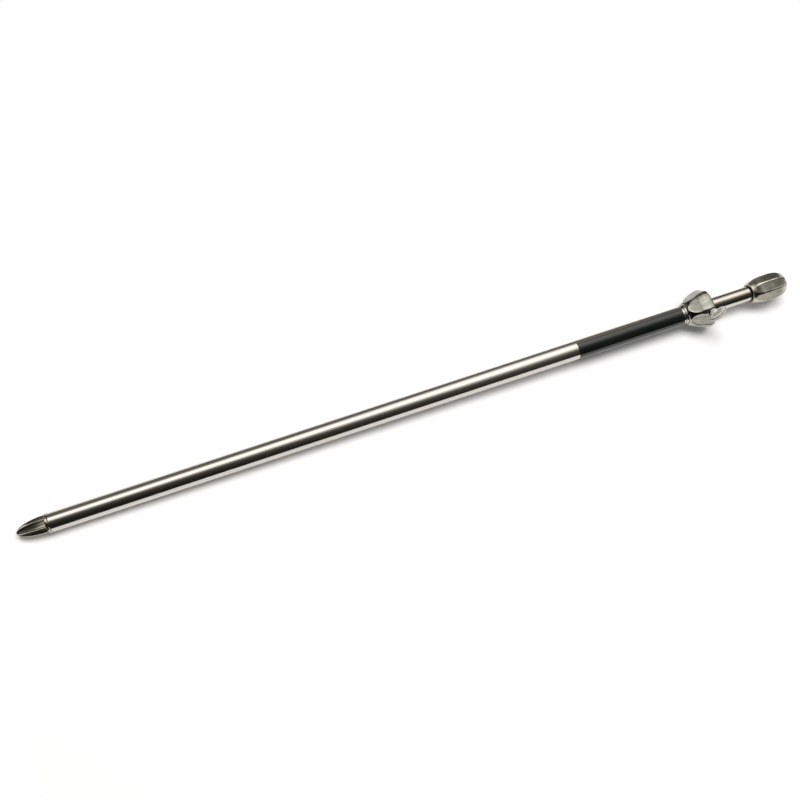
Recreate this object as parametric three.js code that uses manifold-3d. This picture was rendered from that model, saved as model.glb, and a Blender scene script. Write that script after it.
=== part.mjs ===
// A telescopic bank stick that lies on its side. Millimetres, +Z up, +X from the ground point to the head.
// The origin is the tip of the ground point, on the axis of the tubes.
import * as THREE from "three";
import Module from "manifold-3d";
import { mergeVertices } from "three/addons/utils/BufferGeometryUtils.js";

const wasm = await Module();
wasm.setup();

// Fits
const GAP = 0.3; // between pieces that are seated on each other
const RUNNING_GAP = 0.15; // between round faces that slide or turn on each other
const OVERRUN = 1; // how far a cutting tool runs past the face it cuts
const ROUND_SIDES = 64; // sides of every large round section
const SMALL_SIDES = 32; // sides of screws, pins and their holes
const CORNER = 0.4; // chamfer of turned edges

// Tubes
const OUTER_DIAMETER = 15.9;
const OUTER_WALL = 0.8;
const SLEEVE_WALL = 0.5; // of the sleeve between the two tubes
const INNER_WALL = 1;
const OUTER_TUBE_LENGTH = 558.7;
const ROD_SHOWN = 37.7; // bare inner tube between collar and head, as photographed
const ROD_LEFT = 1.7; // bare inner tube that is left when the stick is closed
const CLOSED_SPACE = 5.9; // free space under the inner stick when the stick is closed

// Ground point and what holds it
const POINT_LENGTH = 24.4;
const POINT_STEP = 0.35; // how far the point's base stands back from the tube
const POINT_FACETS = 8;
const POINT_TURN = 95; // degrees about +X, from +Y towards +Z, of the middle of one facet
const POINT_STEPS = 14; // rings of the ogive
const POINT_NOSE_STEPS = 2; // rings at the tip that stay round
const POINT_FACET_SHARE = 0.94; // distance of a facet from the axis over the round radius
const SHOULDER_WIDTH = 2.4;
const SHOULDER_PROUD = 0.15; // how far the shoulder ring stands out of the tube
const STUD_DIAMETER = 8;
const STUD_IN_POINT = 13;
const TUBE_PLUG_LENGTH = 24;
const PLUG_FLOOR = 5; // solid end of the tube plug

// Label
const LABEL_LENGTH = 94.9;
const LABEL_TO_NECK = 1.8; // bare tube between the label and the neck ring
const LABEL_THICKNESS = 0.25;
const LABEL_SEAT = 0.1;
const LABEL_FROM = 65; // degrees about +X, from +Y towards +Z
const LABEL_TO = 350;

// Collar
const NECK_RING_WIDTH = 1.5;
const NECK_RING_WALL = 0.4;
const NECK_RING_CORNER = 0.15;
const COLLAR_LENGTH = 22.2;
const COLLAR_WALL = 8.55; // at the thickest
const COLLAR_TUBE_SEAT = 12.6; // how far the outer tube reaches into the collar
const COLLAR_FACETS = 6;
const COLLAR_TURN = 87.5; // degrees, of the middle of one petal
// Shares of the collar's length from its neck, and of its wall outside the tube
const COLLAR_STATION_SHARES = [0, 0.02, 0.08, 0.19, 0.37, 0.55, 0.68, 0.77, 0.88, 0.95, 0.985, 1];
const COLLAR_WALL_SHARES = [0.135, 0.205, 0.275, 0.45, 0.695, 0.86, 0.965, 1, 0.965, 0.825, 0.58, 0.39];
const PETAL_STATION_SHARES = [0, 0.135, 0.27, 0.405, 0.54, 0.675, 0.79, 0.88, 0.95, 1];
const PETAL_WALL_SHARES = [0.14, 0.275, 0.415, 0.555, 0.695, 0.8, 0.85, 0.815, 0.71, 0.51];
const LIP_WIDTH = 1.2; // of the inner lip that holds the guide bush
const LIP_CLEARANCE = 0.75; // between the lip and the inner tube
const GRUB_DIAMETER = 4;
const GRUB_LENGTH = 3.2;
const GRUB_STATION = 6.4; // from the collar's neck
const GRUB_TURN = 270;

// Thumbscrew
const SCREW_DIAMETER = 5;
const SCREW_STATION = 17.8; // from the collar's neck
const SCREW_TURN = 123; // degrees: by the round band between two petals
const INSERT_DIAMETER = 6.8;
const INSERT_SUNK = 2.4; // below the collar's largest radius
const PAD_DIAMETER = 4.4;
const PAD_LENGTH = 2.4;
const HUB_DIAMETER = 8.4;
const HUB_TOP_DIAMETER = 6.4;
const HUB_HEIGHT = 5.4;
const SCREW_IN_HUB = 4.6;
const HUB_CLEARANCE = 0.7; // between the collar's largest radius and the hub
const PADDLE_RISE = 2; // of the plate above the hub's underside
const PADDLE_WIDTH = 16.2;
const PADDLE_HEIGHT = 13;
const PADDLE_THICKNESS = 3.6;
const PADDLE_TURN = 27; // degrees that the paddle is turned from the stick's axis
const RIB_COUNT = 6;
const RIB_WIDTH = 0.8;
const RIB_PROUD = 0.3;

// Lower end of the inner stick
const SLEEVE_LENGTH = 53;
const STOP_RING_WIDTH = 2;
const BOTTOM_FLANGE_WIDTH = 2.2;
const BOTTOM_SPIGOT_LENGTH = 14;
const PLUG_PIN_DIAMETER = 2;
const PLUG_PIN_STATION = 8; // from the lower end of the inner tube

// Head
const HEAD_FACETS = 8;
const HEAD_FACET_TURN = 102; // degrees, as the head is turned in the photograph
const HEAD_LENGTH = 31.6;
const HEAD_WALL = 5.05; // outside the inner tube, at the thickest
const HEAD_NECK_WALL = 1.95;
const HEAD_NECK_WIDTH = 1.2;
// Shares of the head's length beyond its neck, and of its wall outside the inner tube
const HEAD_STATION_SHARES = [0, 0.06, 0.125, 0.19, 0.27, 0.39, 0.55, 0.7, 0.81, 0.91, 0.975, 1];
const HEAD_WALL_SHARES = [0.33, 0.545, 0.725, 0.84, 0.93, 0.98, 1, 0.94, 0.78, 0.525, 0.29, 0.13];
const HEAD_FLAT_SHARES = [0.32, 0.49, 0.635, 0.74, 0.81, 0.85, 0.86, 0.8, 0.655, 0.415, 0.21, 0.09];
const HEAD_TUBE_DEPTH = 10;
const HEAD_INSERT_DIAMETER = 11.4;
const HEAD_INSERT_LENGTH = 14;
const HEAD_INSERT_SUNK = 0.4;
const HEAD_THREAD_DIAMETER = 8.5; // inside the crests of a 3/8 inch thread
const HEAD_GRUB_DIAMETER = 3;
const HEAD_GRUB_LENGTH = 2.2;
const HEAD_GRUB_STATION = 5.4;
const HEAD_GRUB_TURN = 270;
const BUFFER_SECTION = 0.6;
const BUFFER_SIDES = 12;

// Radii that several pieces share
const outerRadius = OUTER_DIAMETER / 2;
const outerBore = outerRadius - OUTER_WALL;
const innerRadius = outerBore - SLEEVE_WALL - 2 * RUNNING_GAP;
const innerBore = innerRadius - INNER_WALL;
const studRadius = STUD_DIAMETER / 2;
const screwRadius = SCREW_DIAMETER / 2;
const pointBase = outerRadius - POINT_STEP;
const collarBore = outerRadius + GAP;
const collarTop = collarBore + COLLAR_WALL;
const headBore = innerRadius + GAP;
const headTop = headBore + HEAD_WALL;
const bushRadius = collarBore - GAP;
const bushBore = innerRadius + GAP;
const sleeveBore = innerRadius + RUNNING_GAP;
const sleeveRadius = sleeveBore + SLEEVE_WALL;

// Places along the stick
const shoulderStart = POINT_LENGTH + GAP;
const tubeStart = shoulderStart + SHOULDER_WIDTH + GAP;
const plugEnd = tubeStart + GAP + TUBE_PLUG_LENGTH;
const studEnd = plugEnd - PLUG_FLOOR;
const tubeEnd = tubeStart + OUTER_TUBE_LENGTH;
const collarStart = tubeEnd - COLLAR_TUBE_SEAT;
const collarEnd = collarStart + COLLAR_LENGTH;
const neckRingStart = collarStart - GAP - NECK_RING_WIDTH;
const labelStart = neckRingStart - LABEL_TO_NECK - LABEL_LENGTH;
const bushStart = tubeEnd + GAP;
const bushEnd = collarEnd - LIP_WIDTH - GAP;
const screwStation = collarStart + SCREW_STATION;
const headStart = collarEnd + ROD_SHOWN;
const headEnd = headStart + HEAD_LENGTH;
const innerTubeEnd = headStart + HEAD_TUBE_DEPTH;
const bottomFlangeStart = plugEnd + CLOSED_SPACE + ROD_SHOWN - ROD_LEFT;
const bottomFlangeEnd = bottomFlangeStart + BOTTOM_FLANGE_WIDTH;
const innerTubeStart = bottomFlangeEnd + GAP;
const sleeveStart = bottomFlangeEnd + RUNNING_GAP;
const stopRingStart = sleeveStart + SLEEVE_LENGTH + RUNNING_GAP;

// Heights along the thumbscrew's own axis, from the stick's axis
const padStart = innerRadius + GAP;
const padEnd = padStart + PAD_LENGTH;
const screwStart = padEnd + GAP;
const insertStart = collarBore + GAP;
const insertTop = collarTop - INSERT_SUNK;
const hubStart = collarTop + HUB_CLEARANCE;
const hubBore = screwRadius + GAP;

const radians = THREE.MathUtils.degToRad;

// A closed mesh as a manifold solid.
function solidOf(geometry) {
  const bare = geometry.clone();
  for (const name of Object.keys(bare.attributes)) {
    if (name !== "position") {
      bare.deleteAttribute(name);
    }
  }
  const merged = mergeVertices(bare);
  return new wasm.Manifold(
    new wasm.Mesh({
      numProp: 3,
      vertProperties: new Float32Array(merged.attributes.position.array),
      triVerts: new Uint32Array(merged.index.array),
    }),
  );
}

// A manifold solid as a mesh geometry with flat faces.
function geometryOf(solid) {
  const mesh = solid.getMesh();
  const geometry = new THREE.BufferGeometry();
  const positions = new Float32Array(mesh.numVert * 3);
  for (let i = 0; i < mesh.numVert; i++) {
    positions.set(mesh.vertProperties.subarray(i * mesh.numProp, i * mesh.numProp + 3), i * 3);
  }
  geometry.setAttribute("position", new THREE.BufferAttribute(positions, 3));
  geometry.setIndex(new THREE.BufferAttribute(new Uint32Array(mesh.triVerts), 1));
  const flat = geometry.toNonIndexed();
  flat.computeVertexNormals();
  return flat;
}

// A solid turned about the stick's axis from a closed list of [x, radius].
function turned(profile, sides = ROUND_SIDES) {
  const points = profile.map(([x, r]) => new THREE.Vector2(r, x));
  const geometry = new THREE.LatheGeometry(points, sides);
  geometry.rotateZ(-Math.PI / 2);
  const solid = solidOf(geometry);
  return solid.volume() < 0 ? turned([...profile].reverse(), sides) : solid;
}

// A ring or tube with chamfered outer corners.
function ring(start, end, bore, radius, corner = CORNER, sides = ROUND_SIDES) {
  return turned(
    [
      [start, bore],
      [end, bore],
      [end, radius - corner],
      [end - corner, radius],
      [start + corner, radius],
      [start, radius - corner],
      [start, bore],
    ],
    sides,
  );
}

// A full rod with chamfered ends.
function rod(start, end, radius, corner = CORNER, sides = ROUND_SIDES) {
  return turned(
    [
      [start, 0],
      [start, radius - corner],
      [start + corner, radius],
      [end - corner, radius],
      [end, radius - corner],
      [end, 0],
    ],
    sides,
  );
}

// Turns a geometry or solid made along +X so that it stands on the stick's axis at a station, leaning at an angle.
function radialMatrix(station, turn) {
  const matrix = new THREE.Matrix4().makeTranslation(station, 0, 0);
  matrix.multiply(new THREE.Matrix4().makeRotationX(radians(turn)));
  return matrix.multiply(new THREE.Matrix4().makeRotationZ(Math.PI / 2));
}

function placed(solid, matrix) {
  return solid.transform(matrix.elements);
}

// A round bar that points outwards from the stick's axis.
function radialRod(station, turn, low, high, radius, corner = 0, sides = SMALL_SIDES) {
  return placed(rod(low, high, radius, corner, sides), radialMatrix(station, turn));
}

// A bar with flat sides, whose distance from the axis follows the given stations.
function facetedBar(stations, distances, count, turn) {
  const positions = [];
  const rings = stations.map((x, i) => {
    const corner = distances[i] / Math.cos(Math.PI / count);
    return Array.from({ length: count }, (_, k) => {
      const angle = radians(turn) + ((2 * k + 1) * Math.PI) / count;
      return [x, corner * Math.cos(angle), corner * Math.sin(angle)];
    });
  });
  const cap = (ringPoints, x, flip) => {
    ringPoints.forEach((point, k) => {
      const next = ringPoints[(k + 1) % count];
      const triangle = flip ? [[x, 0, 0], next, point] : [[x, 0, 0], point, next];
      positions.push(...triangle.flat());
    });
  };
  cap(rings[0], stations[0], true);
  for (let i = 0; i + 1 < rings.length; i++) {
    for (let k = 0; k < count; k++) {
      const a = rings[i][k];
      const b = rings[i][(k + 1) % count];
      const c = rings[i + 1][(k + 1) % count];
      const d = rings[i + 1][k];
      positions.push(...a, ...b, ...c, ...a, ...c, ...d);
    }
  }
  cap(rings[rings.length - 1], stations[stations.length - 1], false);
  const geometry = new THREE.BufferGeometry();
  geometry.setAttribute("position", new THREE.BufferAttribute(new Float32Array(positions), 3));
  return solidOf(geometry);
}

// The round ogive of the ground point at a distance from its tip.
function pointRadius(x) {
  return pointBase * Math.sqrt(1 - ((POINT_LENGTH - x) / POINT_LENGTH) ** 2);
}

function groundPoint() {
  const stations = Array.from({ length: POINT_STEPS + 1 }, (_, i) => POINT_LENGTH * (i / POINT_STEPS) ** 2);
  const outline = stations.map((x) => [x, pointRadius(x)]);
  const round = turned([...outline, [POINT_LENGTH, 0]]);
  const flats = facetedBar(
    stations.slice(1),
    stations.slice(1).map((x) => pointRadius(x) * POINT_FACET_SHARE),
    POINT_FACETS,
    POINT_TURN,
  );
  const nose = turned([...outline.slice(0, POINT_NOSE_STEPS + 1), [stations[POINT_NOSE_STEPS], 0]]);
  const bore = rod(POINT_LENGTH - STUD_IN_POINT - GAP, POINT_LENGTH + OVERRUN, studRadius + GAP, 0, SMALL_SIDES);
  return round.intersect(flats.add(nose)).subtract(bore);
}

function pointStud() {
  const start = POINT_LENGTH - STUD_IN_POINT;
  return rod(start, studEnd, studRadius, CORNER, SMALL_SIDES);
}

function shoulderRing() {
  return ring(shoulderStart, shoulderStart + SHOULDER_WIDTH, studRadius + GAP, outerRadius + SHOULDER_PROUD);
}

function tubePlug() {
  const body = rod(tubeStart + GAP, plugEnd, outerBore - GAP);
  const thread = rod(tubeStart - OVERRUN, studEnd + GAP, studRadius + GAP, 0, SMALL_SIDES);
  return body.subtract(thread);
}

function outerTube() {
  return ring(tubeStart, tubeEnd, outerBore, outerRadius, OUTER_WALL / 4);
}

function labelWrap() {
  const low = outerRadius + LABEL_SEAT;
  const high = low + LABEL_THICKNESS;
  const sector = new THREE.Shape();
  sector.absarc(0, 0, high, radians(LABEL_FROM), radians(LABEL_TO), false);
  sector.absarc(0, 0, low, radians(LABEL_TO), radians(LABEL_FROM), true);
  sector.closePath();
  const geometry = new THREE.ExtrudeGeometry(sector, {
    depth: LABEL_LENGTH,
    bevelEnabled: false,
    curveSegments: ROUND_SIDES,
  });
  const stand = new THREE.Matrix4().makeBasis(
    new THREE.Vector3(0, 1, 0),
    new THREE.Vector3(0, 0, 1),
    new THREE.Vector3(1, 0, 0),
  );
  geometry.applyMatrix4(stand);
  geometry.translate(labelStart, 0, 0);
  return solidOf(geometry);
}

function neckRing() {
  const radius = collarBore + NECK_RING_WALL;
  return ring(neckRingStart, neckRingStart + NECK_RING_WIDTH, collarBore, radius, NECK_RING_CORNER);
}

function collarBody() {
  const outline = COLLAR_STATION_SHARES.map((share, i) => [
    share * COLLAR_LENGTH,
    collarBore + COLLAR_WALL_SHARES[i] * COLLAR_WALL,
  ]);
  const round = turned([[0, collarBore], ...outline, [COLLAR_LENGTH, collarBore], [0, collarBore]]);
  const petals = facetedBar(
    PETAL_STATION_SHARES.map((share) => share * COLLAR_LENGTH),
    PETAL_WALL_SHARES.map((share) => collarBore + share * COLLAR_WALL),
    COLLAR_FACETS,
    COLLAR_TURN,
  );
  const lip = ring(COLLAR_LENGTH - LIP_WIDTH, COLLAR_LENGTH, innerRadius + LIP_CLEARANCE, collarBore + GAP, 0);
  const body = round.intersect(petals).add(lip).translate([collarStart, 0, 0]);
  const reach = collarTop + OVERRUN;
  const insertHole = radialRod(screwStation, SCREW_TURN, innerRadius, reach, INSERT_DIAMETER / 2 + GAP);
  const grubStation = collarStart + GRUB_STATION;
  const grubHole = radialRod(grubStation, GRUB_TURN, innerRadius, reach, GRUB_DIAMETER / 2 + GAP);
  return body.subtract(insertHole).subtract(grubHole);
}

function collarGrubScrew() {
  const low = outerRadius + GAP;
  return radialRod(collarStart + GRUB_STATION, GRUB_TURN, low, low + GRUB_LENGTH, GRUB_DIAMETER / 2, CORNER);
}

function guideBush() {
  const bush = ring(bushStart, bushEnd, bushBore, bushRadius);
  const padHole = radialRod(screwStation, SCREW_TURN, 0, collarBore, PAD_DIAMETER / 2 + GAP);
  return bush.subtract(padHole);
}

function threadInsert() {
  const insert = ring(insertStart, insertTop, screwRadius + GAP, INSERT_DIAMETER / 2, CORNER, SMALL_SIDES);
  return placed(insert, radialMatrix(screwStation, SCREW_TURN));
}

function pressurePad() {
  return radialRod(screwStation, SCREW_TURN, padStart, padEnd, PAD_DIAMETER / 2, CORNER);
}

function screwShank() {
  const top = hubStart + SCREW_IN_HUB;
  return radialRod(screwStation, SCREW_TURN, screwStart, top, screwRadius, CORNER);
}

// The paddle stands along +X here, with its width along Y, before it is placed on the screw's axis.
function screwPaddle() {
  const low = hubStart + PADDLE_RISE;
  const hub = turned(
    [
      [hubStart, 0],
      [hubStart, HUB_DIAMETER / 2],
      [hubStart + HUB_HEIGHT, HUB_TOP_DIAMETER / 2],
      [hubStart + HUB_HEIGHT + PADDLE_THICKNESS, 0],
    ],
    SMALL_SIDES,
  );
  const oval = new THREE.Shape();
  oval.absellipse(low + PADDLE_HEIGHT / 2, 0, PADDLE_HEIGHT / 2, PADDLE_WIDTH / 2, 0, 2 * Math.PI);
  const plate = (thickness) => {
    const geometry = new THREE.ExtrudeGeometry(oval, {
      depth: thickness,
      bevelEnabled: false,
      curveSegments: SMALL_SIDES / 2,
    });
    geometry.translate(0, 0, -thickness / 2);
    return solidOf(geometry);
  };
  let paddle = hub.add(plate(PADDLE_THICKNESS));
  const ribBand = plate(PADDLE_THICKNESS + 2 * RIB_PROUD);
  const pitch = PADDLE_HEIGHT / (RIB_COUNT + 1);
  for (let i = 1; i <= RIB_COUNT; i++) {
    const bar = new THREE.BoxGeometry(RIB_WIDTH, PADDLE_WIDTH, PADDLE_THICKNESS + 2 * RIB_PROUD + OVERRUN);
    bar.translate(low + pitch * i, 0, 0);
    paddle = paddle.add(ribBand.intersect(solidOf(bar)));
  }
  const bore = rod(hubStart - OVERRUN, hubStart + SCREW_IN_HUB + GAP, hubBore, 0, SMALL_SIDES);
  const turn = new THREE.Matrix4().makeRotationX(radians(PADDLE_TURN));
  return placed(paddle.subtract(bore), radialMatrix(screwStation, SCREW_TURN).multiply(turn));
}

function plugPinHole(extra) {
  const low = -innerRadius - extra;
  return radialRod(innerTubeStart + PLUG_PIN_STATION, 0, low, -low, PLUG_PIN_DIAMETER / 2 + GAP, 0);
}

function innerTube() {
  const tube = ring(innerTubeStart, innerTubeEnd, innerBore, innerRadius, INNER_WALL / 4);
  return tube.subtract(plugPinHole(OVERRUN));
}

function bottomPlug() {
  const flange = ring(bottomFlangeStart, bottomFlangeEnd, innerBore / 2, sleeveRadius);
  const spigot = rod(bottomFlangeStart + CORNER, innerTubeStart + BOTTOM_SPIGOT_LENGTH, innerBore - GAP);
  const dimple = rod(bottomFlangeStart - OVERRUN, bottomFlangeStart + CORNER, innerBore / 2, 0);
  return flange.add(spigot).subtract(dimple).subtract(plugPinHole(OVERRUN));
}

function plugPin() {
  const reach = innerRadius - GAP;
  return radialRod(innerTubeStart + PLUG_PIN_STATION, 0, -reach, reach, PLUG_PIN_DIAMETER / 2, CORNER / 2);
}

function slideSleeve() {
  return ring(sleeveStart, sleeveStart + SLEEVE_LENGTH, sleeveBore, sleeveRadius, OUTER_WALL / 4);
}

function stopRing() {
  return ring(stopRingStart, stopRingStart + STOP_RING_WIDTH, sleeveBore, sleeveRadius, OUTER_WALL / 4);
}

function bufferRing() {
  const section = BUFFER_SECTION / 2;
  const centre = innerRadius + RUNNING_GAP + section;
  const station = headStart - GAP - section;
  const profile = Array.from({ length: BUFFER_SIDES + 1 }, (_, i) => {
    const angle = (2 * Math.PI * (i % BUFFER_SIDES)) / BUFFER_SIDES;
    return [station + section * Math.cos(angle), centre + section * Math.sin(angle)];
  });
  return turned(profile);
}

function headBody() {
  const length = HEAD_LENGTH - HEAD_NECK_WIDTH;
  const stations = HEAD_STATION_SHARES.map((share) => HEAD_NECK_WIDTH + share * length);
  const outline = stations.map((x, i) => [x, headBore + HEAD_WALL_SHARES[i] * HEAD_WALL]);
  const body = turned([[HEAD_NECK_WIDTH, 0], ...outline, [HEAD_LENGTH, 0]]);
  const flats = facetedBar(
    stations,
    HEAD_FLAT_SHARES.map((share) => headBore + share * HEAD_WALL),
    HEAD_FACETS,
    HEAD_FACET_TURN,
  );
  const neck = rod(0, HEAD_NECK_WIDTH + GAP, headBore + HEAD_NECK_WALL, CORNER);
  const tubeBore = rod(-OVERRUN, HEAD_TUBE_DEPTH + GAP, headBore, 0);
  const through = rod(0, HEAD_LENGTH, HEAD_THREAD_DIAMETER / 2, 0);
  const insertStation = HEAD_LENGTH - HEAD_INSERT_SUNK - HEAD_INSERT_LENGTH - GAP;
  const insertBore = rod(insertStation, HEAD_LENGTH + OVERRUN, HEAD_INSERT_DIAMETER / 2 + GAP, 0);
  const grubHole = radialRod(
    HEAD_GRUB_STATION,
    HEAD_GRUB_TURN,
    innerRadius,
    headTop + OVERRUN,
    HEAD_GRUB_DIAMETER / 2 + GAP,
  );
  const solid = body.intersect(flats).add(neck).subtract(tubeBore).subtract(through);
  return solid.subtract(insertBore).subtract(grubHole).translate([headStart, 0, 0]);
}

function headInsert() {
  const end = headEnd - HEAD_INSERT_SUNK;
  return ring(end - HEAD_INSERT_LENGTH, end, HEAD_THREAD_DIAMETER / 2, HEAD_INSERT_DIAMETER / 2);
}

function headGrubScrew() {
  const low = innerRadius + GAP;
  const station = headStart + HEAD_GRUB_STATION;
  return radialRod(station, HEAD_GRUB_TURN, low, low + HEAD_GRUB_LENGTH, HEAD_GRUB_DIAMETER / 2, CORNER / 2);
}

// Finishes
const steel = { color: 0xa39a8d, roughness: 0.28, metalness: 1 };
const brightSteel = { color: 0xb0a899, roughness: 0.14, metalness: 1 };
const castMetal = { color: 0xa9a79c, roughness: 0.42, metalness: 1 };
const brass = { color: 0xb08d4a, roughness: 0.35, metalness: 1 };
const nylon = { color: 0xd8d4c8, roughness: 0.6, metalness: 0 };
const blackNylon = { color: 0x1b1b1a, roughness: 0.6, metalness: 0 };
const rubber = { color: 0x151515, roughness: 0.8, metalness: 0 };
const blackFilm = { color: 0x0b0d0a, roughness: 0.25, metalness: 0 };
const blackScrew = { color: 0x2b2b2b, roughness: 0.45, metalness: 1 };

const stick = new THREE.Group();

function add(parent, name, solid, finish) {
  const mesh = new THREE.Mesh(geometryOf(solid), new THREE.MeshStandardMaterial(finish));
  mesh.name = name;
  parent.add(mesh);
}

const outerStick = new THREE.Group();
add(outerStick, "ground_point", groundPoint(), brightSteel);
add(outerStick, "point_stud", pointStud(), steel);
add(outerStick, "shoulder_ring", shoulderRing(), brightSteel);
add(outerStick, "tube_plug", tubePlug(), castMetal);
add(outerStick, "outer_tube", outerTube(), steel);
add(outerStick, "label_wrap", labelWrap(), blackFilm);
add(outerStick, "collar_neck_ring", neckRing(), brightSteel);
add(outerStick, "collar_body", collarBody(), castMetal);
add(outerStick, "collar_grub_screw", collarGrubScrew(), blackScrew);
add(outerStick, "guide_bush", guideBush(), blackNylon);
add(outerStick, "thread_insert", threadInsert(), brass);

const thumbscrew = new THREE.Group();
add(thumbscrew, "pressure_pad", pressurePad(), nylon);
add(thumbscrew, "screw_shank", screwShank(), steel);
add(thumbscrew, "screw_paddle", screwPaddle(), castMetal);

const innerStick = new THREE.Group();
add(innerStick, "inner_tube", innerTube(), brightSteel);
add(innerStick, "bottom_plug", bottomPlug(), blackNylon);
add(innerStick, "plug_pin", plugPin(), steel);
add(innerStick, "slide_sleeve", slideSleeve(), nylon);
add(innerStick, "stop_ring", stopRing(), steel);
add(innerStick, "buffer_ring", bufferRing(), rubber);
add(innerStick, "head_body", headBody(), castMetal);
add(innerStick, "head_insert", headInsert(), brass);
add(innerStick, "head_grub_screw", headGrubScrew(), blackScrew);

stick.add(outerStick, thumbscrew, innerStick);

export default stick;
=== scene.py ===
import math

import bpy
import numpy as np
from mathutils import Matrix, Vector


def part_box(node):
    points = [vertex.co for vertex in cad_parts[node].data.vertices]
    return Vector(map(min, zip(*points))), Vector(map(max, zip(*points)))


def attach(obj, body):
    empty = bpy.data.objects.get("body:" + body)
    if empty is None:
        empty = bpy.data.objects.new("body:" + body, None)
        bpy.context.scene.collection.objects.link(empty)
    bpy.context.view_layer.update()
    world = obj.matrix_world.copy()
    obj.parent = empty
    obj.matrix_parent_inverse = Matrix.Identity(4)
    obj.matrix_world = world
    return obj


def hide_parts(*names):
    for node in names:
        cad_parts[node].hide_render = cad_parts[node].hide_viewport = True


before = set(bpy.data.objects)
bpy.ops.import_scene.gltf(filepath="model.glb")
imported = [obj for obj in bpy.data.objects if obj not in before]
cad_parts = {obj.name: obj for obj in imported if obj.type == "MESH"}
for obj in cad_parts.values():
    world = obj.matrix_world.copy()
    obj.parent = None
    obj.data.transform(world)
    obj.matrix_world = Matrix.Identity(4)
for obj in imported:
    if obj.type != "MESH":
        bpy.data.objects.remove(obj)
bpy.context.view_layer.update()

MM = 0.001
MICRON = 0.000001

# Camera, fitted to the photograph
CAMERA_DISTANCE = 0.8196
CAMERA_AIM = 0.321  # along the stick, from the tip of the point
CAMERA_ASIDE = 0.0061  # of the image centre from the stick's axis
CAMERA_LENS = 45
CAMERA_SENSOR = 36
CAMERA_NEAR = 0.01
CAMERA_ROUND = math.radians(105)  # round the stick's axis, from +Y towards +Z
STICK_TILT = math.radians(6)  # of the stick away from the image plane
STICK_SLOPE = math.radians(18.13)  # of the stick in the image

# Fineness and edges of the meshes
ROUND_STEPS = 360
LENGTH_STEPS = 110
HOLE_STEPS = 48
FORM_SHARP_ANGLE = math.radians(40)
CAD_SHARP_ANGLE = math.radians(30)
JOIN_DISTANCE = MICRON

# Turned shapes with flats: distance along the piece and radius, in millimetres.
# A turn is the middle of one flat, round the stick's axis from +Y towards +Z.
POINT_FACETS = 8
POINT_TURN = math.radians(95)
POINT_BASE = 7.6  # radius at the shoulder ring
POINT_TIP = 0.02  # radius that the tip and the floor of the stud's hole close to
POINT_STEPS = 60
POINT_PLAIN = 0.8  # length of the tip that has no flats
POINT_FLAT_SHARE = 0.93
POINT_RIDGE = 0.28
STUD_HOLE_RADIUS = 4.3
STUD_HOLE_DEPTH = 12
COLLAR_FACETS = 6
COLLAR_TURN = math.radians(87.5)
COLLAR_PROFILE = [(0, 9.3), (0.25, 9.75), (0.7, 10.1), (1.78, 10.55), (4.2, 12.1), (8.2, 14.2),
                  (12.2, 15.6), (15.1, 16.45), (17.1, 16.75), (19.5, 16.45), (21.1, 15.3), (21.9, 13.2),
                  (22.2, 11.6)]
COLLAR_FLATS = [(0, 10.4), (0.7, 10), (1.8, 10.15), (3, 10.55), (6, 11.7), (9, 12.9), (12, 14.1),
                (15, 14.95), (17.5, 15.3), (19.5, 15.05), (21.1, 14.2), (22.2, 12.5)]
COLLAR_LENGTH = COLLAR_PROFILE[-1][0]
COLLAR_BORE = [(COLLAR_LENGTH, 7.1), (21, 7.1), (21, 8.25), (0, 8.25)]
COLLAR_BEAD = 0.16  # height of the rim round each petal
COLLAR_BEAD_WIDTH = 0.24
GROUND_DEPTH = 0.12  # below the round shape, where a petal's ground finish is whole
HEAD_FACETS = 8
HEAD_TURN = math.radians(102)
HEAD_PROFILE = [(0, 8.2), (0.15, 8.5), (0.35, 8.6), (0.9, 8.62), (1.5, 8.75), (3, 9.4), (5, 10.3),
                (7, 10.9), (9.4, 11.35), (13, 11.6), (18, 11.7), (22.5, 11.4), (25.8, 10.6), (28.9, 9.3),
                (30.8, 8.1), (31.4, 7.6), (31.6, 7.3)]
HEAD_FLATS = [(0, 9.5), (1.5, 8.95), (3, 9.2), (5, 9.86), (7, 10.39), (9.4, 10.74), (13, 10.94),
              (18, 10.99), (22.5, 10.69), (25.8, 9.96), (28.9, 8.75), (30.8, 7.71), (31.6, 7.1)]
HEAD_LENGTH = HEAD_PROFILE[-1][0]
HEAD_BORE = [(HEAD_LENGTH, 6), (16.9, 6), (16.9, 4.25), (10.3, 4.25), (10.3, 6.65), (0, 6.65)]
HEAD_RIDGE = 0.22  # height of the soft ridge between two flats
RIDGE_WIDTH = 0.6
RIDGE_FADE = 0.4  # depth of a flat at which its ridges are whole

# Thumbscrew, in millimetres
SCREW_ROUND = math.radians(123)  # round the stick's axis, from +Y towards +Z
SCREW_STATION = 17.8  # along the collar
HUB_BASE = 17.5  # from the stick's axis, and the hub's own heights are from here
HUB_PROFILE = [(0, 2.95), (0.3, 3.1), (2.6, 3.1), (4.5, 3), (4.9, 2.9), (5.4, 2.3), (5.9, 1.2)]
HUB_BORE = [(5.9, 0.05), (5.1, 0.05), (4.9, 2.7), (0, 2.7)]
PADDLE_TURN = math.radians(27)  # round the screw's axis
PADDLE_LOW = 19.5  # from the stick's axis
PADDLE_HEIGHT = 12.6
PADDLE_HALF_WIDTH = 8.1
PADDLE_HALF_THICKNESS = 2
PADDLE_STEPS = 480
FACE_RINGS = 70
RIM_RINGS = 60

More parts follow.
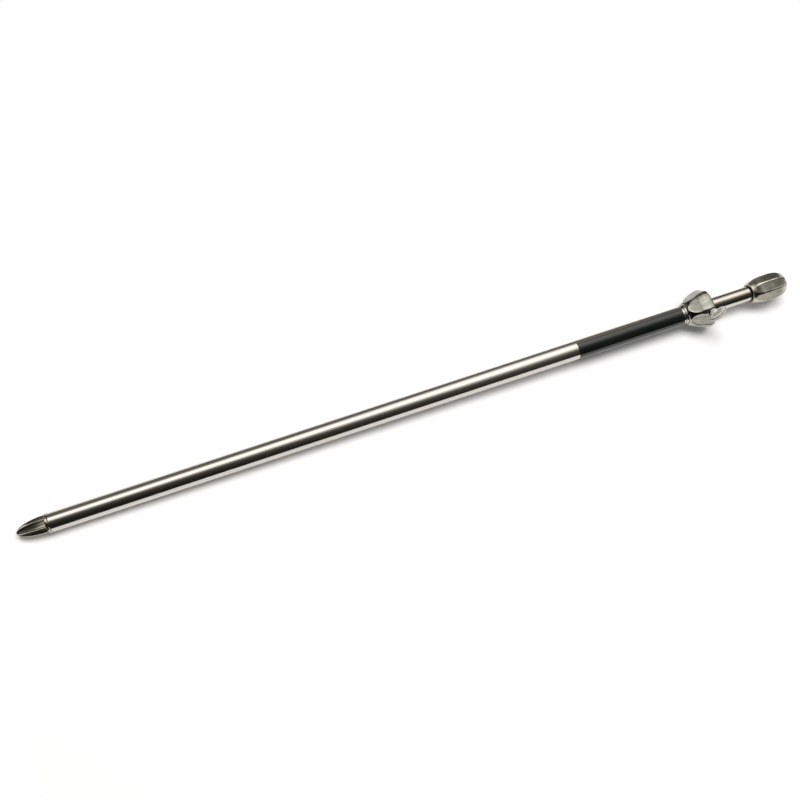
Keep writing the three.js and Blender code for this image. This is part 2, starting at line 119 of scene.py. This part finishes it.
# Knurling of the paddle
KNURL_PITCH = 1.55
KNURL_DEPTH = 0.35
FACE_ROWS = 4
RIM_ROWS = 3
FACE_FADE = 8  # how fast the rows of a face rise from its edge
RIM_FADE = 3
FACE_ROW_POWER = 0.4  # below 1 the rows of a face are broad, with narrow grooves
FACE_TOOTH_SHARE = 0.7  # of a row's height, which the grooves across it take away
RIM_TOOTH_SHARE = 0.5
GROOVE_UNSHADED = 0.4  # share of a groove's depth that gets no painted shade

# Radial holes, in millimetres. A reach is the heights from the stick's axis that a hole is cut between.
COLLAR_REACH = (7.5, 19)
HEAD_REACH = (6.4, 14)
GRUB_ROUND = math.radians(270)  # straight down
COLLAR_GRUB_STATION = 6.4
HEAD_GRUB_STATION = 5.4
SCREW_HOLE_RADIUS = 3.7
COLLAR_GRUB_RADIUS = 2.3
HEAD_GRUB_RADIUS = 1.8

# Stretch of the finishes' noise per axis, and the values that nearly all noise lies between
EVEN = (1, 1, 1)
DRAWN = (0.02, 1, 1)
STREAKED = (0.3, 1, 1)
TURNED = (1, 0.03, 0.03)
NOISE_RANGE = (0.3, 0.7)
NOISE_DETAIL = 3
RELIEF_STRENGTH = 0.5

# Table top that the shoulder ring and the collar lie on, in metres
TABLE_BEHIND = 0.05  # from the stick's axis to the table's far edge, beyond which metal shows the dark room
TABLE_AHEAD = 0.03  # from the tip of the point to the table's left edge
TABLE_PAST = 0.047  # from the head's face to an open strip, so that the head reflects less of the table
TABLE_GAP = 0.05  # width of the open strip
TABLE_BRIDGE = 0.05  # of table in front of the stick's axis, where the open strip ends
TABLE_REACH = 6  # to the front edge and the right one
TABLE_TONES = ((0.89, 0.89, 0.89), (0.91, 0.91, 0.91))
TABLE_ROUGHNESS = 0.9
TABLE_GRAIN = 900
COLLAR_REST = 17  # millimetres along the collar, where it touches the table

# Room that metal reflects. Its bands are degrees round the stick, from the far horizon over the top to the
# near one, and the brightness there. Along the stick, a direction runs from -1 at the point's end to 1 at
# the head's.
ROOM_BANDS = [(0, 0.17), (14, 0.16), (23, 0.3), (32, 0.75), (44, 1.5), (56, 2.1), (70, 2), (82, 1.25),
              (93, 0.6), (105, 0.19), (117, 0.09), (130, 0.055), (150, 0.035), (165, 0.02), (180, 0.018)]
ROOM_GREEN = 0.97
ROOM_BLUE = 0.95
ROOM_DIM = 0.3  # brightness below which the room is warmer
ROOM_DIM_BLUE = 0.86
ROOM_LEFT = (-0.46, -0.22)  # where the room fades out on the left
ROOM_LEFT_SHARE = 0.16
ROOM_RIGHT = (0.28, 0.42)  # where it fades a little on the right
ROOM_RIGHT_SHARE = 0.76
EVEN_LIGHT = 0.28  # on matt surfaces

# Window in the room. It is narrowed by the larger of two numbers, given for directions square to the stick.
# One falls towards the head and the other rises.
WINDOW_MIDDLE = math.radians(64)
NARROW_LEFT = 1.12
NARROW_LEFT_FALL = 1.25
NARROW_RIGHT = 0.7
NARROW_RIGHT_RISE = 0.6

# Lamp for the matt pieces and the shadow, in metres
LAMP_LENGTH = 1.8
LAMP_WIDTH = 1
LAMP_POWER = 54
LAMP_COLOUR = (1, 0.99, 0.97)
LAMP_ROUND = math.radians(81)  # round the stick's axis, from +Y towards +Z
LAMP_DISTANCE = 2.2
LAMP_ALONG = 0.58
LAMP_AIM = 0.33


def smooth_curve(points, places):
    """A curve through the points that never overshoots them, read at the places."""
    stations = np.array([point[0] for point in points], float)
    values = np.array([point[1] for point in points], float)
    gaps = np.diff(stations)
    rises = np.diff(values) / gaps
    slopes = np.zeros(len(stations))
    slopes[0] = rises[0]
    slopes[-1] = rises[-1]
    for i in range(1, len(stations) - 1):
        if rises[i - 1] * rises[i] > 0:
            before = 2 * gaps[i] + gaps[i - 1]
            after = gaps[i] + 2 * gaps[i - 1]
            slopes[i] = (before + after) / (before / rises[i - 1] + after / rises[i])
    k = np.clip(np.searchsorted(stations, places) - 1, 0, len(gaps) - 1)
    t = (places - stations[k]) / gaps[k]
    near = (1 + 2 * t) * (1 - t) ** 2 * values[k] + t * (1 - t) ** 2 * gaps[k] * slopes[k]
    return near + t * t * (3 - 2 * t) * values[k + 1] + t * t * (t - 1) * gaps[k] * slopes[k + 1]


def node_start(node):
    """Where a CAD node starts along the stick, in millimetres."""
    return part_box(node)[0].x / MM


def add_object(name, data):
    obj = bpy.data.objects.new(name, data)
    bpy.context.scene.collection.objects.link(obj)
    return obj


def mesh_piece(name, verts, faces, body, nodes):
    """A piece of points in millimetres, with the finish of the node that it replaces."""
    material, slot = FINISHES[nodes[0]]
    mesh = bpy.data.meshes.new(name)
    mesh.from_pydata([tuple(Vector(v) * MM) for v in verts], [], faces)
    mesh.update()
    obj = add_object(name, mesh)
    mesh.shade_smooth()
    mesh.set_sharp_from_angle(angle=FORM_SHARP_ANGLE)
    mesh.materials.append(material)
    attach(obj, body)
    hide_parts(*nodes)
    return obj


def grid_faces(rows, columns, closed_rows=True):
    faces = []
    last = rows if closed_rows else rows - 1
    for i in range(last):
        for k in range(columns):
            a, b = i * columns + k, i * columns + (k + 1) % columns
            c, d = (i + 1) % rows * columns + (k + 1) % columns, (i + 1) % rows * columns + k
            faces.append((a, b, c, d))
    return faces


def turned_shape(start, profile, bore, flats=None, count=1, turn=0, rim=None, ridge=0):
    """Points and faces of a turned shape with flats, along its outside and back through its bore.

    A rim is the height and width of a bead along the flats' edges, and a ridge is the height of one between
    two flats.
    """
    length = profile[-1][0]
    shares = 0.5 - 0.5 * np.cos(np.linspace(0, np.pi, LENGTH_STEPS))
    stations = np.unique(np.concatenate([shares * length, [point[0] for point in profile]]))
    radii = smooth_curve(profile, stations)
    angles = np.arange(ROUND_STEPS) * 2 * np.pi / ROUND_STEPS
    sector = 2 * np.pi / count
    heights = np.full(len(stations), np.inf)
    off = np.zeros(ROUND_STEPS)
    if flats:
        heights = smooth_curve(flats, stations)
        off = (angles - turn + sector / 2) % sector - sector / 2
    verts = []
    for x, radius, height in zip(stations, radii, heights):
        flat = height / np.cos(off)
        ring = np.minimum(radius, flat)
        if rim:
            low = radius - rim[0]
            ring = np.minimum(low, flat) + rim[0] * np.exp(-(((flat - low) / rim[1]) ** 2))
        if ridge:
            aside = (sector / 2 - np.abs(off)) * radius
            whole = min(max((radius - height) / RIDGE_FADE, 0), 1)
            swell = ridge * whole * np.exp(-((aside / RIDGE_WIDTH) ** 2))
            ring = np.minimum(np.minimum(radius, flat) - ridge * whole / 2 + swell, radius)
        verts += [(start + x, ring[i] * math.cos(a), ring[i] * math.sin(a)) for i, a in enumerate(angles)]
    for x, radius in bore:
        verts += [(start + x, radius * math.cos(a), radius * math.sin(a)) for a in angles]
    return verts, grid_faces(len(stations) + len(bore), ROUND_STEPS)


def cut_round_hole(obj, station, turn, reach, radius):
    """A radial hole through a piece, cut with a boolean and then applied."""
    direction = Vector((0, math.cos(turn), math.sin(turn)))
    side = Vector((1, 0, 0))
    other = direction.cross(side)
    verts = []
    for height in reach:
        for i in range(HOLE_STEPS):
            a = 2 * math.pi * i / HOLE_STEPS
            offset = side * math.cos(a) * radius + other * math.sin(a) * radius
            verts.append((Vector((station, 0, 0)) + direction * height + offset) * MM)
    faces = [(i, (i + 1) % HOLE_STEPS, HOLE_STEPS + (i + 1) % HOLE_STEPS, HOLE_STEPS + i)
             for i in range(HOLE_STEPS)]
    faces += [tuple(reversed(range(HOLE_STEPS))), tuple(range(HOLE_STEPS, 2 * HOLE_STEPS))]
    mesh = bpy.data.meshes.new("cutter")
    mesh.from_pydata([tuple(v) for v in verts], [], faces)
    mesh.update()
    cutter = add_object("cutter", mesh)
    modifier = obj.modifiers.new("hole", "BOOLEAN")
    modifier.object = cutter
    modifier.operation = "DIFFERENCE"
    modifier.solver = "EXACT"
    bpy.context.view_layer.update()
    graph = bpy.context.evaluated_depsgraph_get()
    cut = bpy.data.meshes.new_from_object(obj.evaluated_get(graph))
    obj.modifiers.remove(modifier)
    obj.data = cut
    bpy.data.objects.remove(cutter)


# Nodes of the materials and of the room

def new_material(name):
    material = bpy.data.materials.new(name)
    material.use_nodes = True
    tree = material.node_tree
    tree.nodes.clear()
    out = tree.nodes.new("ShaderNodeOutputMaterial")
    shader = tree.nodes.new("ShaderNodeBsdfPrincipled")
    tree.links.new(shader.outputs["BSDF"], out.inputs["Surface"])
    return material, tree, shader


def noise(tree, stretch, scale):
    """Noise in object coordinates. Scale is in features per metre, stretch is per axis."""
    place = tree.nodes.new("ShaderNodeTexCoord")
    mapping = tree.nodes.new("ShaderNodeMapping")
    mapping.inputs["Scale"].default_value = stretch
    tree.links.new(place.outputs["Object"], mapping.inputs["Vector"])
    texture = tree.nodes.new("ShaderNodeTexNoise")
    texture.inputs["Scale"].default_value = scale
    texture.inputs["Detail"].default_value = NOISE_DETAIL
    tree.links.new(mapping.outputs["Vector"], texture.inputs["Vector"])
    return texture.outputs["Fac"]


def mapped(tree, value, source, target, interpolation="LINEAR"):
    """A value mapped from a source range to a target range, and held at their ends."""
    node = tree.nodes.new("ShaderNodeMapRange")
    node.interpolation_type = interpolation
    for place, number in zip(("From Min", "From Max", "To Min", "To Max"), (*source, *target)):
        node.inputs[place].default_value = number
    tree.links.new(value, node.inputs["Value"])
    return node.outputs["Result"]


def two_tones(tree, value, dark, light):
    ramp = tree.nodes.new("ShaderNodeValToRGB")
    for element, place, colour in zip(ramp.color_ramp.elements, NOISE_RANGE, (dark, light)):
        element.position = place
        element.color = (*colour, 1)
    tree.links.new(value, ramp.inputs["Fac"])
    return ramp.outputs["Color"]


def relief(tree, shader, value, depth):
    node = tree.nodes.new("ShaderNodeBump")
    node.inputs["Strength"].default_value = RELIEF_STRENGTH
    node.inputs["Distance"].default_value = depth
    tree.links.new(value, node.inputs["Height"])
    tree.links.new(node.outputs["Normal"], shader.inputs["Normal"])


def blended(tree, share, first, second, kind):
    """Two outputs mixed by a share. The kind is FLOAT or RGBA."""
    node = tree.nodes.new("ShaderNodeMix")
    node.data_type = kind
    near, far, mixed = {"FLOAT": (2, 3, 0), "RGBA": (6, 7, 2)}[kind]
    tree.links.new(share, node.inputs[0])
    tree.links.new(first, node.inputs[near])
    tree.links.new(second, node.inputs[far])
    return node.outputs[mixed]


def maths(tree, operation, *values):
    """A maths node, whose values are numbers or outputs of other nodes."""
    node = tree.nodes.new("ShaderNodeMath")
    node.operation = operation
    for i, value in enumerate(values):
        if isinstance(value, (int, float)):
            node.inputs[i].default_value = value
        else:
            tree.links.new(value, node.inputs[i])
    return node.outputs[0]


def plain_light(tree, strength):
    node = tree.nodes.new("ShaderNodeBackground")
    node.inputs["Color"].default_value = (1, 1, 1, 1)
    node.inputs["Strength"].default_value = strength
    return node.outputs[0]


def either_light(tree, share, first, second):
    """The second of two lights for the rays of one kind, and the first for all others."""
    node = tree.nodes.new("ShaderNodeMixShader")
    for i, output in enumerate((share, first, second)):
        tree.links.new(output, node.inputs[i])
    return node.outputs[0]


# Materials. Tone and grain are the stretch and scale of the colour patches and of the fine relief.

def surface(name, dark, light, rough, tone, grain, depth, metallic=0, coat=0):
    material, tree, shader = new_material(name)
    patches = noise(tree, *tone)
    fine = noise(tree, *grain)
    tree.links.new(two_tones(tree, patches, dark, light), shader.inputs["Base Color"])
    tree.links.new(mapped(tree, fine, NOISE_RANGE, rough), shader.inputs["Roughness"])
    shader.inputs["Metallic"].default_value = metallic
    shader.inputs["Coat Weight"].default_value = coat
    relief(tree, shader, fine, depth)
    return material


def two_finishes(name, mark, first, second, grain, depth, metallic=1):
    """Metal of two finishes, where each point's mark says how much it has of the second one; on the paddle
    the second is painted shade in the knurl's grooves, not a finish.

    A finish is its dark and light colour, its roughness from smooth to rough, and its tone.
    """
    material, tree, shader = new_material(name)
    marks = tree.nodes.new("ShaderNodeAttribute")
    marks.attribute_name = mark
    fine = noise(tree, *grain)
    colours = []
    roughs = []
    for dark, light, rough, tone in (first, second):
        colours.append(two_tones(tree, noise(tree, *tone), dark, light))
        roughs.append(mapped(tree, fine, NOISE_RANGE, rough))
    tree.links.new(blended(tree, marks.outputs["Fac"], *colours, "RGBA"), shader.inputs["Base Color"])
    tree.links.new(blended(tree, marks.outputs["Fac"], *roughs, "FLOAT"), shader.inputs["Roughness"])
    shader.inputs["Metallic"].default_value = metallic
    relief(tree, shader, fine, depth)
    return material


def set_marks(obj, mark, shares):
    layer = obj.data.attributes.new(mark, "FLOAT", "POINT")
    layer.data.foreach_set("value", np.asarray(shares, np.float32))


satin_steel = surface("satin_steel", (0.58, 0.54, 0.49), (0.66, 0.62, 0.57), rough=(0.1, 0.17), metallic=1,
                      tone=(DRAWN, 700), grain=(DRAWN, 4000), depth=4 * MICRON)
polished_steel = surface("polished_steel", (0.58, 0.54, 0.48), (0.65, 0.61, 0.55), rough=(0.07, 0.13),
                         metallic=1, tone=(EVEN, 90), grain=(TURNED, 5000), depth=3 * MICRON)
point_steel = surface("point_steel", (0.39, 0.35, 0.29), (0.5, 0.46, 0.395), rough=(0.1, 0.18), metallic=1,
                      tone=(DRAWN, 500), grain=(DRAWN, 3000), depth=4 * MICRON)
cast_steel = surface("cast_steel", (0.4, 0.38, 0.32), (0.58, 0.56, 0.49), rough=(0.17, 0.28), metallic=1,
                     tone=(EVEN, 260), grain=(EVEN, 2200), depth=20 * MICRON)
ground_steel = two_finishes("ground_steel", "ground",
                            ((0.34, 0.33, 0.28), (0.44, 0.43, 0.37), (0.14, 0.22), (EVEN, 260)),
                            ((0.28, 0.275, 0.24), (0.42, 0.41, 0.37), (0.18, 0.3), (STREAKED, 420)),
                            grain=(EVEN, 2200), depth=20 * MICRON)
# The paddle's near-black second finish is painted shade in the knurl's grooves, over the light metal of its
# crests.
paddle_steel_and_groove_shade = two_finishes("paddle_steel_and_groove_shade", "groove",
                            ((0.8, 0.79, 0.74), (0.88, 0.87, 0.82), (0.5, 0.66), (EVEN, 300)),
                            ((0.07, 0.07, 0.06), (0.13, 0.12, 0.11), (0.4, 0.6), (EVEN, 300)),
                            grain=(EVEN, 2600), depth=20 * MICRON, metallic=0.5)
black_steel = surface("black_steel", (0.05, 0.05, 0.05), (0.09, 0.09, 0.09), rough=(0.3, 0.5), metallic=1,
                      tone=(EVEN, 500), grain=(EVEN, 4000), depth=10 * MICRON)
brass = surface("brass", (0.6, 0.44, 0.2), (0.7, 0.54, 0.28), rough=(0.2, 0.35), metallic=1,
                tone=(EVEN, 300), grain=(TURNED, 4000), depth=8 * MICRON)
nylon = surface("nylon", (0.68, 0.65, 0.57), (0.76, 0.73, 0.66), rough=(0.45, 0.6),
                tone=(EVEN, 200), grain=(EVEN, 2500), depth=10 * MICRON)
black_nylon = surface("black_nylon", (0.012, 0.012, 0.011), (0.025, 0.024, 0.023), rough=(0.45, 0.6),
                      tone=(EVEN, 200), grain=(EVEN, 2500), depth=10 * MICRON)
rubber = surface("rubber", (0.006, 0.006, 0.006), (0.014, 0.014, 0.013), rough=(0.6, 0.8),
                 tone=(EVEN, 300), grain=(EVEN, 3000), depth=20 * MICRON)
black_film = surface("black_film", (0.003, 0.004, 0.003), (0.006, 0.009, 0.006), rough=(0.06, 0.14),
                     tone=(EVEN, 60), grain=(EVEN, 1500), depth=4 * MICRON, coat=0.3)

FINISHES = {
    "ground_point": (point_steel, "polished_steel"),
    "point_stud": (satin_steel, "satin_steel"),
    "shoulder_ring": (point_steel, "polished_steel"),
    "tube_plug": (cast_steel, "cast_steel"),
    "outer_tube": (satin_steel, "satin_steel"),
    "label_wrap": (black_film, "black_film"),
    "collar_neck_ring": (polished_steel, "polished_steel"),
    "collar_body": (ground_steel, "cast_steel"),
    "collar_grub_screw": (black_steel, "black_steel"),
    "guide_bush": (black_nylon, "black_nylon"),
    "thread_insert": (brass, "brass"),
    "pressure_pad": (nylon, "nylon"),
    "screw_shank": (satin_steel, "satin_steel"),
    "screw_paddle": (paddle_steel_and_groove_shade, "cast_steel"),
    "inner_tube": (polished_steel, "polished_steel"),
    "bottom_plug": (black_nylon, "black_nylon"),
    "plug_pin": (satin_steel, "satin_steel"),
    "slide_sleeve": (nylon, "nylon"),
    "stop_ring": (satin_steel, "satin_steel"),
    "buffer_ring": (rubber, "rubber"),
    "head_body": (cast_steel, "cast_steel"),
    "head_insert": (brass, "brass"),
    "head_grub_screw": (black_steel, "black_steel"),
}


def smooth_turning():
    """Geometry nodes that join the faces of a CAD mesh and shade its round faces smooth."""
    group = bpy.data.node_groups.new("smooth_turning", "GeometryNodeTree")
    group.interface.new_socket("Geometry", in_out="INPUT", socket_type="NodeSocketGeometry")
    group.interface.new_socket("Geometry", in_out="OUTPUT", socket_type="NodeSocketGeometry")
    start = group.nodes.new("NodeGroupInput")
    end = group.nodes.new("NodeGroupOutput")
    plain = group.nodes.new("GeometryNodeRemoveAttribute")
    plain.inputs["Name"].default_value = "custom_normal"
    joined = group.nodes.new("GeometryNodeMergeByDistance")
    joined.inputs["Distance"].default_value = JOIN_DISTANCE
    faces = group.nodes.new("GeometryNodeSetShadeSmooth")
    faces.domain = "FACE"
    edges = group.nodes.new("GeometryNodeSetShadeSmooth")
    edges.domain = "EDGE"
    angle = group.nodes.new("GeometryNodeInputMeshEdgeAngle")
    shallow = group.nodes.new("FunctionNodeCompare")
    shallow.operation = "LESS_THAN"
    shallow.inputs["B"].default_value = CAD_SHARP_ANGLE
    group.links.new(angle.outputs["Unsigned Angle"], shallow.inputs["A"])
    group.links.new(shallow.outputs["Result"], edges.inputs["Shade Smooth"])
    chain = [start, plain, joined, faces, edges, end]
    for first, second in zip(chain, chain[1:]):
        group.links.new(first.outputs[0], second.inputs[0])
    return group


def dress_nodes():
    group = smooth_turning()
    for node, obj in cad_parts.items():
        obj.data.materials.clear()
        obj.data.materials.append(FINISHES[node][0])
        obj.modifiers.new("smooth_turning", "NODES").node_group = group


def build_point():
    """A point whose sides are a quarter of an ellipse, with soft flats behind its tip."""
    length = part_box("ground_point")[1].x / MM
    stations = [POINT_TIP + (length - POINT_TIP) * (i / POINT_STEPS) ** 2 for i in range(POINT_STEPS + 1)]
    profile = [(x, POINT_BASE * math.sqrt(1 - ((length - x) / length) ** 2)) for x in stations]
    profile[0] = (0, POINT_TIP)
    flats = [(x, radius * (1 if x < POINT_PLAIN else POINT_FLAT_SHARE)) for x, radius in profile]
    floor = length - STUD_HOLE_DEPTH
    bore = [(length, STUD_HOLE_RADIUS), (floor, STUD_HOLE_RADIUS), (floor, POINT_TIP)]
    verts, faces = turned_shape(0, profile, bore, flats, POINT_FACETS, POINT_TURN, ridge=POINT_RIDGE)
    mesh_piece("point_form", verts, faces, "outer_stick", ["ground_point"])


def build_collar():
    """The collar with a bead round each petal, its two radial holes and the marks of its ground petals."""
    start = node_start("collar_body")
    verts, faces = turned_shape(start, COLLAR_PROFILE, COLLAR_BORE, COLLAR_FLATS, COLLAR_FACETS,
                                COLLAR_TURN, rim=(COLLAR_BEAD, COLLAR_BEAD_WIDTH))
    collar = mesh_piece("collar_form", verts, faces, "outer_stick", ["collar_body"])
    cut_round_hole(collar, start + SCREW_STATION, SCREW_ROUND, COLLAR_REACH, SCREW_HOLE_RADIUS)
    cut_round_hole(collar, start + COLLAR_GRUB_STATION, GRUB_ROUND, COLLAR_REACH, COLLAR_GRUB_RADIUS)
    places = np.empty(len(collar.data.vertices) * 3)
    collar.data.vertices.foreach_get("co", places)
    x, y, z = places.reshape(-1, 3).T / MM
    outside = smooth_curve(COLLAR_PROFILE, np.clip(x - start, 0, COLLAR_LENGTH))
    depth = outside - COLLAR_BEAD - np.hypot(y, z)
    set_marks(collar, "ground", np.clip(depth / GROUND_DEPTH, 0, 1))


def build_head():
    start = node_start("head_body")
    verts, faces = turned_shape(start, HEAD_PROFILE, HEAD_BORE, HEAD_FLATS, HEAD_FACETS, HEAD_TURN,
                                ridge=HEAD_RIDGE)
    head = mesh_piece("head_form", verts, faces, "inner_stick", ["head_body"])
    cut_round_hole(head, start + HEAD_GRUB_STATION, GRUB_ROUND, HEAD_REACH, HEAD_GRUB_RADIUS)


def wave(turns):
    """A swell that is 0 at each whole number of turns and 1 half way between them."""
    return 0.5 - 0.5 * math.cos(2 * math.pi * turns)


def paddle_shape():
    """An oval plate with a round rim, knurled all over, and the share of painted shade in its grooves at
    each point.
    """
    half = PADDLE_HEIGHT / 2
    flat = 1 - PADDLE_HALF_THICKNESS / half
    face = [(flat * (i + 0.5) / FACE_RINGS, 0) for i in range(FACE_RINGS)]
    leans = [math.pi * i / RIM_RINGS for i in range(RIM_RINGS + 1)]
    rim = [(flat + (1 - flat) * math.sin(lean), lean) for lean in leans]
    path = face + rim + [(share, math.pi) for share, _ in reversed(face)]
    angles = [2 * math.pi * k / PADDLE_STEPS for k in range(PADDLE_STEPS)]
    strides = [math.hypot(PADDLE_HALF_WIDTH * math.sin(a), half * math.cos(a)) for a in angles]
    turns = np.cumsum(strides) / sum(strides)
    teeth = round(math.pi * (PADDLE_HALF_WIDTH + half) / KNURL_PITCH)
    verts = []
    grooves = []
    for share, lean in path:
        for a, turn in zip(angles, turns):
            w = PADDLE_HALF_WIDTH * share * math.cos(a)
            h = half * share * math.sin(a)
            if 0 < lean < math.pi:
                row = wave(RIM_ROWS * lean / math.pi)
                crest = row * (1 - RIM_TOOTH_SHARE + RIM_TOOTH_SHARE * wave(teeth * turn))
                whole = min(1, RIM_FADE * math.sin(lean))
            else:
                row = wave(FACE_ROWS * (h / PADDLE_HEIGHT + 0.5)) ** FACE_ROW_POWER
                crest = row * (1 - FACE_TOOTH_SHARE + FACE_TOOTH_SHARE * wave(w / KNURL_PITCH))
                whole = min(1, FACE_FADE * (flat - share))
            groove = (1 - crest) * max(0, whole)
            sunk = KNURL_DEPTH * groove
            inward = 1 - sunk * math.sin(lean) / half
            lift = (PADDLE_HALF_THICKNESS - sunk) * math.cos(lean)
            # The deeper part of each groove gets painted shade.
            grooves.append(max(0, groove - GROOVE_UNSHADED) / (1 - GROOVE_UNSHADED))
            verts.append((PADDLE_LOW + half + h * inward, w * inward, lift))
    rows = len(path)
    faces = grid_faces(rows, PADDLE_STEPS, closed_rows=False)
    last = range((rows - 1) * PADDLE_STEPS, rows * PADDLE_STEPS)
    faces += [tuple(reversed(range(PADDLE_STEPS))), tuple(last)]
    return verts, faces, grooves


def place_on_screw(verts):
    """Points made along +X, with their width along Y, put on the thumbscrew's axis."""
    station = node_start("collar_body") + SCREW_STATION
    turn = Matrix.Rotation(PADDLE_TURN, 4, "X")
    stand = Matrix.Rotation(math.pi / 2, 4, "Z")
    lean = Matrix.Rotation(SCREW_ROUND, 4, "X")
    matrix = Matrix.Translation((station, 0, 0)) @ lean @ stand @ turn
    return [matrix @ Vector(v) for v in verts]


def build_screw_head():
    verts, faces, grooves = paddle_shape()
    paddle = mesh_piece("paddle_form", place_on_screw(verts), faces, "thumbscrew", ["screw_paddle"])
    set_marks(paddle, "groove", grooves)
    verts, faces = turned_shape(HUB_BASE, HUB_PROFILE, HUB_BORE)
    mesh_piece("paddle_hub", place_on_screw(verts), faces, "thumbscrew", ["screw_paddle"])


def build_table():
    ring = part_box("shoulder_ring")
    low_left = Vector(((ring[0].x + ring[1].x) / 2, 0, ring[0].z))
    low_right = Vector(((node_start("collar_body") + COLLAR_REST) * MM, 0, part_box("collar_body")[0].z))
    slope = math.atan2(low_right.z - low_left.z, low_right.x - low_left.x)
    material, tree, shader = new_material("white_table")
    grain = noise(tree, EVEN, TABLE_GRAIN)
    tree.links.new(two_tones(tree, grain, *TABLE_TONES), shader.inputs["Base Color"])
    shader.inputs["Roughness"].default_value = TABLE_ROUGHNESS
    shader.inputs["Specular IOR Level"].default_value = 0
    left = -TABLE_AHEAD - low_left.x
    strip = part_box("head_body")[1].x + TABLE_PAST - low_left.x
    beyond = strip + TABLE_GAP
    tops = [(left, strip, TABLE_REACH), (strip, beyond, TABLE_BRIDGE), (beyond, TABLE_REACH, TABLE_REACH)]
    corners = []
    for start, end, front in tops:
        corners += [(start, -front, 0), (end, -front, 0), (end, TABLE_BEHIND, 0), (start, TABLE_BEHIND, 0)]
    mesh = bpy.data.meshes.new("table_top")
    mesh.from_pydata(corners, [], [(i, i + 1, i + 2, i + 3) for i in range(0, len(corners), 4)])
    mesh.materials.append(material)
    table = add_object("table_top", mesh)
    table.matrix_world = Matrix.Translation(low_left) @ Matrix.Rotation(-slope, 4, "Y")


def widened(tree, angle, along):
    """The angle above the far horizon, for a window that is widest a quarter of the way along."""
    off = maths(tree, "SUBTRACT", angle, WINDOW_MIDDLE)
    left = maths(tree, "SUBTRACT", NARROW_LEFT, maths(tree, "MULTIPLY", along, NARROW_LEFT_FALL))
    right = maths(tree, "ADD", NARROW_RIGHT, maths(tree, "MULTIPLY", along, NARROW_RIGHT_RISE))
    narrow = maths(tree, "MAXIMUM", left, right)
    return maths(tree, "ADD", WINDOW_MIDDLE, maths(tree, "MULTIPLY", off, narrow))


def room_colours(tree, share):
    """The colours of the room's bands, for a share of the way from the far horizon to the near one."""
    ramp = tree.nodes.new("ShaderNodeValToRGB")
    tree.links.new(share, ramp.inputs["Fac"])
    elements = ramp.color_ramp.elements
    while len(elements) < len(ROOM_BANDS):
        elements.new(0.5)
    for element, (degrees, value) in zip(elements, ROOM_BANDS):
        blue = ROOM_DIM_BLUE if value < ROOM_DIM else ROOM_BLUE
        element.position = degrees / 180
        element.color = (value, value * ROOM_GREEN, value * blue, 1)
    return ramp.outputs["Color"]


def build_world():
    """White for the camera, an even light for matt surfaces, and a dark room with a window for metal."""
    world = bpy.data.worlds.new("room")
    bpy.context.scene.world = world
    world.use_nodes = True
    tree = world.node_tree
    tree.nodes.clear()
    out = tree.nodes.new("ShaderNodeOutputWorld")
    rays = tree.nodes.new("ShaderNodeLightPath")
    place = tree.nodes.new("ShaderNodeTexCoord")
    parts = tree.nodes.new("ShaderNodeSeparateXYZ")
    tree.links.new(place.outputs["Generated"], parts.inputs["Vector"])
    along = parts.outputs["X"]
    angle = maths(tree, "ARCTAN2", parts.outputs["Z"], parts.outputs["Y"])
    share = maths(tree, "DIVIDE", widened(tree, angle, along), math.pi)
    left = mapped(tree, along, ROOM_LEFT, (ROOM_LEFT_SHARE, 1), "SMOOTHSTEP")
    right = mapped(tree, along, ROOM_RIGHT, (1, ROOM_RIGHT_SHARE))
    room = tree.nodes.new("ShaderNodeBackground")
    tree.links.new(room_colours(tree, share), room.inputs["Color"])
    tree.links.new(maths(tree, "MULTIPLY", left, right), room.inputs["Strength"])
    even = plain_light(tree, EVEN_LIGHT)
    white = plain_light(tree, 1)
    unseen = either_light(tree, rays.outputs["Is Glossy Ray"], even, room.outputs[0])
    seen = either_light(tree, rays.outputs["Is Camera Ray"], unseen, white)
    tree.links.new(seen, out.inputs["Surface"])


def build_lamp():
    """An area lamp that the camera and the metal don't see."""
    lamp = bpy.data.lights.new("window", "AREA")
    lamp.shape = "RECTANGLE"
    lamp.size = LAMP_LENGTH
    lamp.size_y = LAMP_WIDTH
    lamp.energy = LAMP_POWER
    lamp.color = LAMP_COLOUR
    window = add_object("window", lamp)
    place = Vector((LAMP_ALONG, LAMP_DISTANCE * math.cos(LAMP_ROUND), LAMP_DISTANCE * math.sin(LAMP_ROUND)))
    window.location = place
    window.rotation_euler = (Vector((LAMP_AIM, 0, 0)) - place).to_track_quat("-Z", "Y").to_euler()
    window.visible_glossy = False
    window.visible_camera = False


def build_camera():
    toward = Vector((0, math.cos(CAMERA_ROUND), math.sin(CAMERA_ROUND)))
    aside = Vector((0, math.sin(CAMERA_ROUND), -math.cos(CAMERA_ROUND)))
    along = Vector((1, 0, 0))
    forward = along * math.sin(STICK_TILT) - toward * math.cos(STICK_TILT)
    level = along * math.cos(STICK_TILT) + toward * math.sin(STICK_TILT)
    right = level * math.cos(STICK_SLOPE) - aside * math.sin(STICK_SLOPE)
    up = level * math.sin(STICK_SLOPE) + aside * math.cos(STICK_SLOPE)
    place = along * CAMERA_AIM + aside * CAMERA_ASIDE - forward * CAMERA_DISTANCE
    data = bpy.data.cameras.new("photo_camera")
    data.lens = CAMERA_LENS
    data.sensor_width = CAMERA_SENSOR
    data.clip_start = CAMERA_NEAR
    camera = add_object("photo_camera", data)
    matrix = Matrix((right, up, -forward)).transposed().to_4x4()
    camera.matrix_world = Matrix.Translation(place) @ matrix
    bpy.context.scene.camera = camera


dress_nodes()
build_point()
build_collar()
build_head()
build_screw_head()
build_table()
build_world()
build_lamp()
build_camera()
bpy.context.scene.view_settings.view_transform = "Standard"
